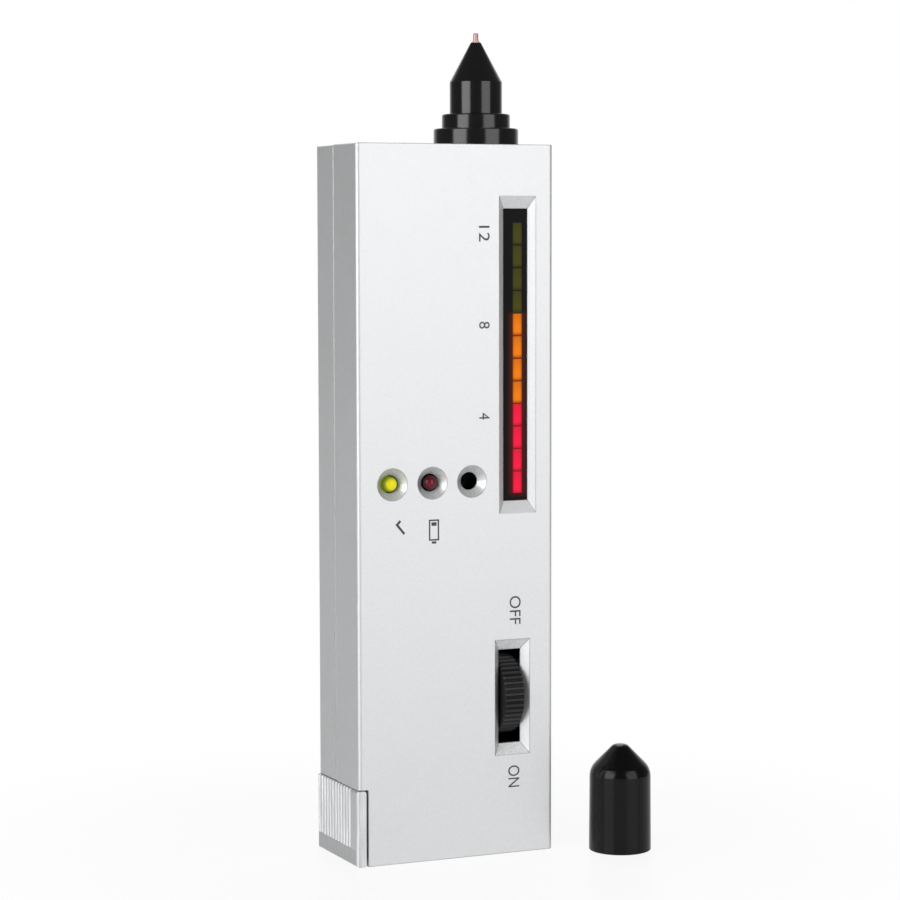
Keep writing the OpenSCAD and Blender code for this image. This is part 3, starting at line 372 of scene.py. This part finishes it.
# Black phenolic of the buzzer and the battery clip: dull, slightly mottled
dull_black = surface("dull black phenolic", "#131314", 0.55, (3, "#1c1c1e", 0.08), (0.2, 0.008))
lay(dull_black, "buzzer", "battery_snap")

# White PTFE, turned: waxy, a little yellowed
ptfe = surface("turned PTFE", "#d9d0c2", 0.4, (1.2, "#cdbfae", 0.08), (0.15, 0.004),
               constants={"Subsurface Weight": 0.15})
ptfe.shader.inputs["Subsurface Radius"].default_value = (0.8 * MM, 0.6 * MM, 0.4 * MM)
lay(ptfe, "tip_bush", "spring_seat")

# Drawn copper wire: pink metal with a warm tarnish
copper = surface("drawn copper", "#c8a0a2", 0.32, (0.5, "#a67c7e", 0.1), (0.08, 0.004), 1.0)
lay(copper, "probe_tip")

# Turned brass, bright
brass = surface("turned brass", "#cfa857", 0.28, (1.5, "#b98d3f", 0.06), (0.1, 0.003), 1.0)
lay(brass, "probe_rod")

# Zinc-plated steel: bluish grey with a faint bloom
steel = surface("zinc-plated steel", "#b4b8bc", 0.32, (1.0, "#a1a6ab", 0.1), (0.12, 0.004), 1.0)
lay(steel, "case_screws", "board_screws", "wheel_screw", "pot_shaft", "battery_terminals")


def sprung_coil():
    """The spring behind the tip, as a piece of its own on the case."""
    coil = bmesh.new()
    coil.from_mesh(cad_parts["tip_spring"].data)
    bmesh.ops.remove_doubles(coil, verts=coil.verts, dist=0.0001 * MM)
    mesh = bpy.data.meshes.new("sprung_coil")
    coil.to_mesh(mesh)
    coil.free()
    mesh.materials.append(steel.material)
    piece = bpy.data.objects.new("sprung_coil", mesh)
    scene.collection.objects.link(piece)
    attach(piece, "case")
    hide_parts("tip_spring")
    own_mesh(piece)


sprung_coil()

# Tinned copper wire: soft grey metal
tinned = surface("tinned wire", "#c3c5c6", 0.4, (0.6, "#afb1b2", 0.1), (0.1, 0.004), 1.0)
lay(tinned, "pot_terminals", "bargraph_pins", "lamp_leads")


def board_finish():
    """Glass-epoxy board under green lacquer, with copper tracks that show lighter through it."""
    finish = surface("green lacquered board", "#14532f", 0.32, (9, "#185c36", 0.05), (0.3, 0.004))
    tree = finish.tree
    # In mm
    track_pitch, track_gap, track_length = 1.3, 0.7, 14.0
    flat = add(tree, "ShaderNodeCombineXYZ", {0: finish.x, 1: finish.z})
    tracks = add(tree, "ShaderNodeTexBrick", {
        "Vector": flat, "Color1": linear("#ffffff"), "Color2": linear("#cbcbcb"), "Mortar": linear("#000000"),
        "Scale": 1 / MM, "Mortar Size": track_gap / 2, "Brick Width": track_length,
        "Row Height": track_pitch}, offset=0.37)
    shade = add(tree, "ShaderNodeMath", {0: tracks, 1: 0.35}, operation="MULTIPLY")
    tint = add(tree, "ShaderNodeMix", {FACTOR: shade, FIRST: finish.tint, SECOND: linear("#2f8a52")},
               MIXED, data_type="RGBA")
    tree.links.new(tint, finish.shader.inputs["Base Color"])
    return finish


lay(board_finish(), "circuit_board")

# Tinned legs of the components: colour, roughness and metallic
tinned_legs = ("#c3c5c6", 0.35, 1.0)


def chip_finish(node, body_w):
    """Black epoxy with a dull moulded skin, on tinned legs beside its body."""
    finish = surface(node + " epoxy", "#1a1a1c", 0.5, (2.5, "#232325", 0.06), (0.12, 0.006))
    off = add(finish.tree, "ShaderNodeMath", {0: finish.x, 1: middle(node).x}, operation="SUBTRACT")
    aside = add(finish.tree, "ShaderNodeMath", {0: off}, operation="ABSOLUTE")
    skin = 0.01 * MM
    legs = within(finish, ((aside, "GREATER_THAN", body_w / 2 + skin),))
    second_finish(finish, legs, *tinned_legs)
    lay(finish, node)


leg_reach = 3.2 * MM
for node in ("driver_chip", "amplifier_chip"):
    low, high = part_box(node)
    chip_finish(node, high.x - low.x - leg_reach)
chip_finish("resistors", 2.3 * MM)


def regulator_finish():
    """Black epoxy on three tinned legs, which run to the board behind it."""
    finish = surface("regulator epoxy", "#19191b", 0.45, (2, "#222224", 0.06), (0.12, 0.006))
    leg_length = 3 * MM
    leg_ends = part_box("regulator")[1].y
    legs = within(finish, ((finish.y, "GREATER_THAN", leg_ends - leg_length),))
    second_finish(finish, legs, *tinned_legs)
    lay(finish, "regulator")


regulator_finish()


def capacitor_finish():
    """Aluminium cans in a blue shrink sleeve, with the bare can showing at the front end."""
    finish = surface("blue shrink sleeve", "#243a78", 0.35, (3, "#2b4488", 0.06), (0.4, 0.006))
    bare_depth = 0.35 * MM
    can_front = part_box("capacitors")[0].y
    can = within(finish, ((finish.y, "LESS_THAN", can_front + bare_depth),))
    second_finish(finish, can, "#c9cbcd", 0.3, 1.0)
    lay(finish, "capacitors")


capacitor_finish()

# Glass-filled nylon of the switch: dark green, dull
lay(surface("switch nylon", "#2a4a40", 0.5, (3, "#31554a", 0.06), (0.15, 0.008)), "switch_pot")

# PVC sleeves of the leads: soft gloss
lay(surface("blue PVC lead", "#2b5aa0", 0.38, (1.5, "#2f62ad", 0.06), (0.3, 0.006)), "probe_leads")
lay(surface("red PVC lead", "#a81f1c", 0.38, (1.5, "#b62823", 0.06), (0.3, 0.006)), "battery_leads")


def battery_finish():
    """Steel can in a printed film: dark grey, with a plain pale band round its upper end."""
    finish = surface("battery film", "#34373c", 0.34, (8, "#3c3f45", 0.06), (2.5, 0.02))
    band_from, band_to = 13 * MM, 1.2 * MM
    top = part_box("battery")[1].z
    band = within(finish, (
        (finish.z, "GREATER_THAN", top - band_from), (finish.z, "LESS_THAN", top - band_to)))
    second_finish(finish, band, "#b9bbbd", 0.34, 0.6)
    lay(finish, "battery")


battery_finish()


def bar_lamp(name, lens, dim, bright, node):
    """Tinted epoxy lamp of the bar, lit from behind: brightest below its middle, darker along its edges."""
    finish = surface(name, lens, 0.45, (1.5, lens, 0.05), (0.25, 0.003),
                     constants={"Specular IOR Level": 0.1})
    tree = finish.tree
    off = add(tree, "ShaderNodeMath", {0: finish.x, 1: lamp_x}, operation="SUBTRACT")
    across = add(tree, "ShaderNodeMath", {0: off, 1: lamp_half_w}, operation="DIVIDE")
    side = add(tree, "ShaderNodeMath", {0: across, 1: 4.0}, operation="POWER")
    soft = add(tree, "ShaderNodeMapRange", {"Value": side, "To Min": 1.0, "To Max": 0.4})
    up = add(tree, "ShaderNodeMath", {0: finish.z, 1: lamp_foot}, operation="SUBTRACT")
    count = add(tree, "ShaderNodeMath", {0: up, 1: lamp_pitch}, operation="DIVIDE")
    rise = add(tree, "ShaderNodeMath", {0: count}, operation="FRACT")
    below = add(tree, "ShaderNodeMapRange", {"Value": rise, "From Max": 0.2}, interpolation_type="SMOOTHSTEP")
    above = add(tree, "ShaderNodeMapRange", {"Value": rise, "From Min": 0.4, "To Min": 1.0, "To Max": 0.6})
    lift = add(tree, "ShaderNodeMath", {0: below, 1: above}, operation="MULTIPLY")
    light = add(tree, "ShaderNodeMix", {FACTOR: lift, FIRST: linear(dim), SECOND: linear(bright)},
                MIXED, data_type="RGBA")
    light = add(tree, "ShaderNodeMix", {FACTOR: 1.0, FIRST: light, SECOND: soft},
                MIXED, data_type="RGBA", blend_type="MULTIPLY")
    tree.links.new(light, finish.shader.inputs["Emission Color"])
    finish.shader.inputs["Emission Strength"].default_value = 1.0
    lay(finish, node)


bar_lamp("lit red epoxy", "#180206", "#c0102a", "#fb1642", "red_segments")
bar_lamp("lit amber epoxy", "#180a01", "#a04400", "#f27e02", "amber_segments")
# The unlit green lamps glow as well: painted light, brightest below their middles and darker along their
# edges
bar_lamp("unlit green epoxy, painted glow", "#232306", "#1c1c03", "#3b3a08", "green_segments")


def bar_housing():
    """Black noryl, dull, with painted light of the lit lamps close beside them, as if scattered in it."""
    finish = surface("dull black noryl", "#0c0b0b", 0.55, (3, "#110f0f", 0.06), (0.15, 0.006),
                     constants={"Specular IOR Level": 0.1})
    tree = finish.tree
    glow_reach = 2.6 * MM
    off = add(tree, "ShaderNodeMath", {0: finish.x, 1: lamp_x}, operation="SUBTRACT")
    aside = add(tree, "ShaderNodeMath", {0: off}, operation="ABSOLUTE")
    near = add(tree, "ShaderNodeMapRange", {"Value": aside, "From Min": lamp_half_w, "From Max": glow_reach,
                                            "To Min": 0.35, "To Max": 0.0}, interpolation_type="SMOOTHERSTEP")
    between = within(finish, ((aside, "LESS_THAN", lamp_half_w), (finish.z, "GREATER_THAN", red_low.z)))
    spread = add(tree, "ShaderNodeMath", {0: near, 1: between}, operation="MAXIMUM")
    amber = add(tree, "ShaderNodeMapRange", {"Value": finish.z, "From Min": amber_low.z - lamp_pitch,
                                             "From Max": amber_low.z + lamp_pitch})
    lit = add(tree, "ShaderNodeMapRange", {"Value": finish.z, "From Min": amber_high.z - 0.3 * MM,
                                           "From Max": amber_high.z + 0.5 * MM, "To Min": 1.0, "To Max": 0.0})
    foot = add(tree, "ShaderNodeMapRange", {
        "Value": finish.z, "From Min": red_low.z - 1.3 * MM, "From Max": red_low.z + 0.6 * MM},
        interpolation_type="SMOOTHSTEP")
    glow = add(tree, "ShaderNodeMath", {0: spread, 1: lit}, operation="MULTIPLY")
    glow = add(tree, "ShaderNodeMath", {0: glow, 1: foot}, operation="MULTIPLY")
    warm = add(tree, "ShaderNodeMix", {FACTOR: amber, FIRST: linear("#7c0a18"), SECOND: linear("#6e2405")},
               MIXED, data_type="RGBA")
    light = add(tree, "ShaderNodeMix", {FACTOR: glow, FIRST: linear("#000000"), SECOND: warm},
                MIXED, data_type="RGBA")
    tree.links.new(light, finish.shader.inputs["Emission Color"])
    finish.shader.inputs["Emission Strength"].default_value = 1.0
    lay(finish, "bargraph_housing")


bar_housing()


def round_lamp(name, node, lens, rim, core, lit):
    """Domed epoxy lamp: its colour is strongest over the die in the middle and deepens towards its rim."""
    finish = surface(name, lens, 0.15, (1.0, lens, 0.03), (0.6, 0.001),
                     constants={"Specular IOR Level": 0.3})
    tree, shader = finish.tree, finish.shader
    axis = middle(node)
    core_r, rim_r = 0.7 * MM, 1.55 * MM
    out = distance(finish, finish.x, axis.x, finish.z, axis.z)
    level = add(tree, "ShaderNodeMapRange",
                {"Value": out, "From Min": core_r, "From Max": rim_r, "To Min": 1.0, "To Max": 0.0},
                interpolation_type="SMOOTHSTEP")
    shade = add(tree, "ShaderNodeMix", {FACTOR: level, FIRST: linear(rim), SECOND: linear(core)},
                MIXED, data_type="RGBA")
    if lit:
        tree.links.new(shade, shader.inputs["Emission Color"])
        shader.inputs["Emission Strength"].default_value = 1.0
    else:
        tree.links.new(shade, shader.inputs["Base Color"])
    lay(finish, node)


round_lamp("lit yellow epoxy", "ready_lamp", "#1c1b03", "#5c6a06", "#e6da02", True)
round_lamp("unlit red epoxy", "battery_lamp", "#4a0c16", "#2c060c", "#6c1122", False)

# Marks printed in dark grey ink on the face. Letters run down the face, with their tops to the right.
INK = 0.02 * MM
ink = surface("dark grey ink", "#333436", 0.5, (2, "#3d3e40", 0.05), (0.2, 0.002)).material


def printed(name, flat, x, z):
    """A flat drawing, along the reading direction and up, as a coat of ink whose middle is at x and z."""
    raised = bmesh.ops.extrude_face_region(flat, geom=flat.faces[:], use_keep_orig=True)["geom"]
    top = [part for part in raised if isinstance(part, bmesh.types.BMVert)]
    bmesh.ops.translate(flat, vec=(0, 0, 1.5 * INK), verts=top)
    bmesh.ops.recalc_face_normals(flat, faces=flat.faces)
    on_face = Matrix(((0, 1, 0, x), (0, 0, -1, face + INK / 2), (-1, 0, 0, z), (0, 0, 0, 1)))
    bmesh.ops.transform(flat, matrix=on_face, verts=flat.verts)
    mesh = bpy.data.meshes.new(name)
    flat.to_mesh(mesh)
    flat.free()
    mesh.materials.append(ink)
    piece = bpy.data.objects.new(name, mesh)
    scene.collection.objects.link(piece)
    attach(piece, "case")


def lettering(name, words, length, height, x, z):
    """Words or numbers of a given length and height."""
    curve = bpy.data.curves.new(name, "FONT")
    curve.body = words
    letters = bpy.data.objects.new(name + "_outline", curve)
    scene.collection.objects.link(letters)
    shape = bpy.data.meshes.new_from_object(letters.evaluated_get(bpy.context.evaluated_depsgraph_get()))
    bpy.data.objects.remove(letters)
    flat = bmesh.new()
    flat.from_mesh(shape)
    bpy.data.meshes.remove(shape)
    bmesh.ops.remove_doubles(flat, verts=flat.verts, dist=1e-5)
    low = Vector([min(v.co[i] for v in flat.verts) for i in range(3)])
    high = Vector([max(v.co[i] for v in flat.verts) for i in range(3)])
    bmesh.ops.translate(flat, vec=-(low + high) / 2, verts=flat.verts)
    bmesh.ops.scale(flat, vec=(length / (high.x - low.x), height / (high.y - low.y), 1), verts=flat.verts)
    printed(name, flat, x, z)


def outline(flat, points):
    """One flat face through points given in mm."""
    drawn = flat.faces.new([flat.verts.new((u * MM, v * MM, 0)) for u, v in points])
    drawn.normal_update()
    return drawn


lettering("print_off", "OFF", length=5.7 * MM, height=2.45 * MM, x=12.85 * MM, z=49.4 * MM)
lettering("print_on", "ON", length=4.4 * MM, height=2.5 * MM, x=12.55 * MM, z=15.6 * MM)

# Plain numbers beside the top lamp of each colour
for count, length in ((4, 1.4), (8, 1.4), (12, 3.1)):
    lettering("print_%d" % count, str(count), length=length * MM, height=2.3 * MM, x=6.1 * MM,
              z=lamp_foot + (count - 0.5) * lamp_pitch)

# A tick below the left lamp
tick = bmesh.new()
outline(tick, [(-1.5, 0.05), (-1.15, 0.4), (-0.55, -0.2), (1.15, 1.25), (1.45, 0.9), (-0.55, -0.85)])
printed("print_tick", tick, x=-12.4 * MM, z=67.2 * MM)

# A battery that is nearly empty below the middle lamp
cell = bmesh.new()
bmesh.ops.inset_region(cell, faces=[outline(cell, [(-2.1, -1.1), (2.1, -1.1), (2.1, 1.1), (-2.1, 1.1)])],
                       thickness=0.3 * MM, use_boundary=True, use_even_offset=True)
inner = min(cell.faces, key=lambda f: max(abs(v.co.x) for v in f.verts))
bmesh.ops.delete(cell, geom=[inner], context="FACES")
outline(cell, [(2.25, -0.5), (2.7, -0.5), (2.7, 0.5), (2.25, 0.5)])
outline(cell, [(-1.55, -0.55), (-0.85, -0.55), (-0.85, 0.55), (-1.55, 0.55)])
printed("print_battery", cell, x=-4.95 * MM, z=66.4 * MM)


def seen_rays(tree, share):
    """1 for the camera's rays, and a share for those that are mirrored or let through."""
    camera_ray = add(tree, "ShaderNodeLightPath", out="Is Camera Ray")
    rays = camera_ray.node.outputs
    mirrored = add(tree, "ShaderNodeMath",
                   {0: rays["Is Glossy Ray"], 1: rays["Is Transmission Ray"]}, operation="MAXIMUM")
    mirrored = add(tree, "ShaderNodeMath", {0: mirrored, 1: share}, operation="MULTIPLY")
    return add(tree, "ShaderNodeMath", {0: camera_ray, 1: mirrored}, operation="MAXIMUM")


def studio_floor():
    """Pale floor that takes the object's shadow and fades to white away from it."""
    sheet = bmesh.new()
    bmesh.ops.create_grid(sheet, x_segments=1, y_segments=1, size=1.0)
    # Longer towards the camera
    bmesh.ops.scale(sheet, vec=(1.0, 1.4, 1.0), verts=sheet.verts)
    bmesh.ops.translate(sheet, vec=(0, -0.4, 0), verts=sheet.verts)
    mesh = bpy.data.meshes.new("floor")
    sheet.to_mesh(mesh)
    sheet.free()
    floor = bpy.data.objects.new("floor", mesh)
    scene.collection.objects.link(floor)
    floor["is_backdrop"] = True
    material = bpy.data.materials.new("pale paper floor")
    material.use_nodes = True
    tree = material.node_tree
    tree.nodes.clear()
    place = add(tree, "ShaderNodeTexCoord", out="Object")
    away = add(tree, "ShaderNodeVectorMath", {0: place}, "Value", operation="LENGTH")
    fade = add(tree, "ShaderNodeMapRange",
               {"Value": away, "From Min": 30 * MM, "From Max": 140 * MM, "To Min": 0.88},
               interpolation_type="SMOOTHSTEP")
    # Half of what reflections show is the lit paper, and more of it where the right lamp's shadow lies
    shadow_middle = Vector((-120, 170, 0)) * MM
    aside = add(tree, "ShaderNodeVectorMath", {0: place, 1: shadow_middle}, "Value", operation="DISTANCE")
    lit = add(tree, "ShaderNodeMapRange",
              {"Value": aside, "From Min": 100 * MM, "From Max": 240 * MM, "To Min": 0.3},
              interpolation_type="SMOOTHSTEP")
    share = add(tree, "ShaderNodeMath", {0: lit, 1: 0.48}, operation="MULTIPLY")
    white = add(tree, "ShaderNodeMath", {0: fade, 1: seen_rays(tree, share)}, operation="MULTIPLY")
    paper = add(tree, "ShaderNodeBsdfPrincipled", {"Base Color": linear("#f8f8f8"), "Roughness": 0.3})
    plain = add(tree, "ShaderNodeEmission", {"Color": linear("#ffffff"), "Strength": 1.0})
    both = add(tree, "ShaderNodeMixShader", {0: white, 1: paper, 2: plain})
    add(tree, "ShaderNodeOutputMaterial", {"Surface": both})
    mesh.materials.append(material)


studio_floor()


def studio_world():
    """White behind the object for the camera and for reflections, a dim room elsewhere."""
    world = bpy.data.worlds.new("white studio")
    world.use_nodes = True
    tree = world.node_tree
    tree.nodes.clear()
    towards = add(tree, "ShaderNodeTexCoord", out="Generated")
    # The backdrop is taller than it is wide
    lowered = add(tree, "ShaderNodeVectorMath", {0: towards, 1: (1.0, 1.0, 0.45)}, operation="MULTIPLY")
    level = add(tree, "ShaderNodeVectorMath", {0: lowered}, operation="NORMALIZE")
    behind = add(tree, "ShaderNodeVectorMath", {0: level, 1: (0.407, 0.914, 0.0)}, "Value",
                 operation="DOT_PRODUCT")
    backdrop = add(tree, "ShaderNodeMapRange", {"Value": behind, "From Min": 0.6, "From Max": 0.99},
                   interpolation_type="SMOOTHSTEP")
    room = add(tree, "ShaderNodeBackground", {"Color": linear("#ffffff"), "Strength": 0.17})
    paper = add(tree, "ShaderNodeBackground", {"Color": linear("#ffffff"), "Strength": 1.0})
    both = add(tree, "ShaderNodeMixShader", {0: seen_rays(tree, backdrop), 1: room, 2: paper})
    add(tree, "ShaderNodeOutputWorld", {"Surface": both})
    scene.world = world


studio_world()


case_middle = Vector((0, 0, 75 * MM))


def softbox(name, azimuth, height, away, size, power):
    """A soft square lamp, turned towards the middle of the case; lengths in m, azimuth from the front."""
    lamp = bpy.data.lights.new(name, "AREA")
    lamp.shape = "SQUARE"
    lamp.size = size
    lamp.energy = power
    obj = bpy.data.objects.new(name, lamp)
    turn = math.radians(azimuth)
    obj.location = Vector((math.sin(turn) * away, -math.cos(turn) * away, height))
    obj.rotation_euler = (case_middle - obj.location).to_track_quat("-Z", "Y").to_euler()
    scene.collection.objects.link(obj)


softbox("left_softbox", azimuth=-69, height=0.39, away=0.95, size=0.7, power=6.5)
softbox("right_softbox", azimuth=21, height=0.36, away=0.95, size=0.7, power=3.75)
softbox("top_softbox", azimuth=156, height=0.95, away=0.5, size=0.45, power=2.4)


def photo_camera():
    """Camera that stands where the photograph was taken from, as fitted to the edges of the case."""
    yaw, pitch, roll = (math.radians(angle) for angle in (24.105, -4.448, -0.116))
    stand = Vector((-224.35, -509.0, 124.65)) * MM
    photo_w_px, focal_px = 900, 2761.7
    ahead = Vector((math.sin(yaw) * math.cos(pitch), math.cos(yaw) * math.cos(pitch), math.sin(pitch)))
    level = Vector((math.cos(yaw), -math.sin(yaw), 0))
    up = level.cross(ahead)
    right = math.cos(roll) * level + math.sin(roll) * up
    top = -math.sin(roll) * level + math.cos(roll) * up
    data = bpy.data.cameras.new("photo_camera")
    data.sensor_fit = "HORIZONTAL"
    data.sensor_width = 36.0
    data.lens = focal_px * data.sensor_width / photo_w_px
    data.clip_start = 0.01
    camera = bpy.data.objects.new("photo_camera", data)
    turn = Matrix((right, top, -ahead)).transposed().to_4x4()
    camera.matrix_world = Matrix.Translation(stand) @ turn
    scene.collection.objects.link(camera)
    scene.camera = camera


photo_camera()
scene.view_settings.view_transform = "Standard"

low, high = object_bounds()
